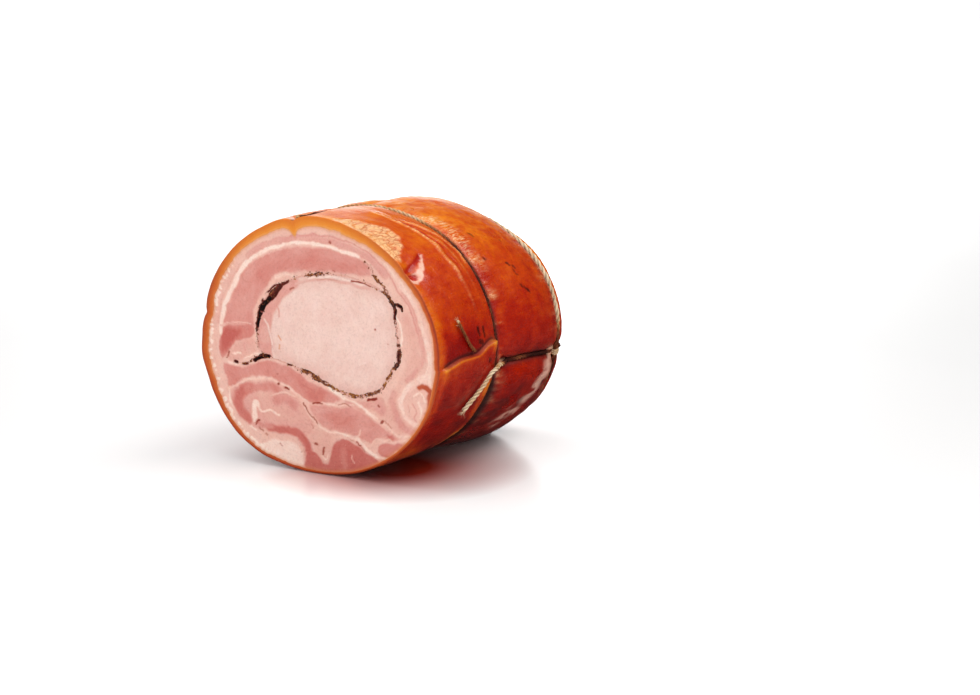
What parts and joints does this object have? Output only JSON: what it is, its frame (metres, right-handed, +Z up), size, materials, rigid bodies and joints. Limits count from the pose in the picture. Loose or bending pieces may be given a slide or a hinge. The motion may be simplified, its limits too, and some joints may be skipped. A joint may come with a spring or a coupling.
{
  "type": "porchetta roast",
  "caption": "Half of a rolled, herb-filled pork roast with browned rind and butcher's twine, lying on its side with a flat cut face.",
  "frame": {"origin": "on the surface that the roast lies on, under the middle of its box", "axes": "+X to the right seen from the cut face, +Y along the roll away from the cut face, +Z up"},
  "size_m": [0.166, 0.1678, 0.1435],
  "materials": {
    "rind": "glossy browned pork rind",
    "belly_meat": "moist cut pork belly, pink lean with pale fat",
    "loin_meat": "moist cut pork loin, pale pink",
    "herbs": "dark cooked herbs and pepper",
    "twine": "natural butcher's twine, stained by the juices"
  },
  "bodies": {
    "root": {"belly": "rind", "herb_filling": "herbs", "loin": "loin_meat", "twine_middle_ring": "twine", "twine_end_ring": "twine", "twine_over_top": "twine", "twine_round_side": "twine", "twine_thin_tail": "twine"}
  },
  "joints": []
}
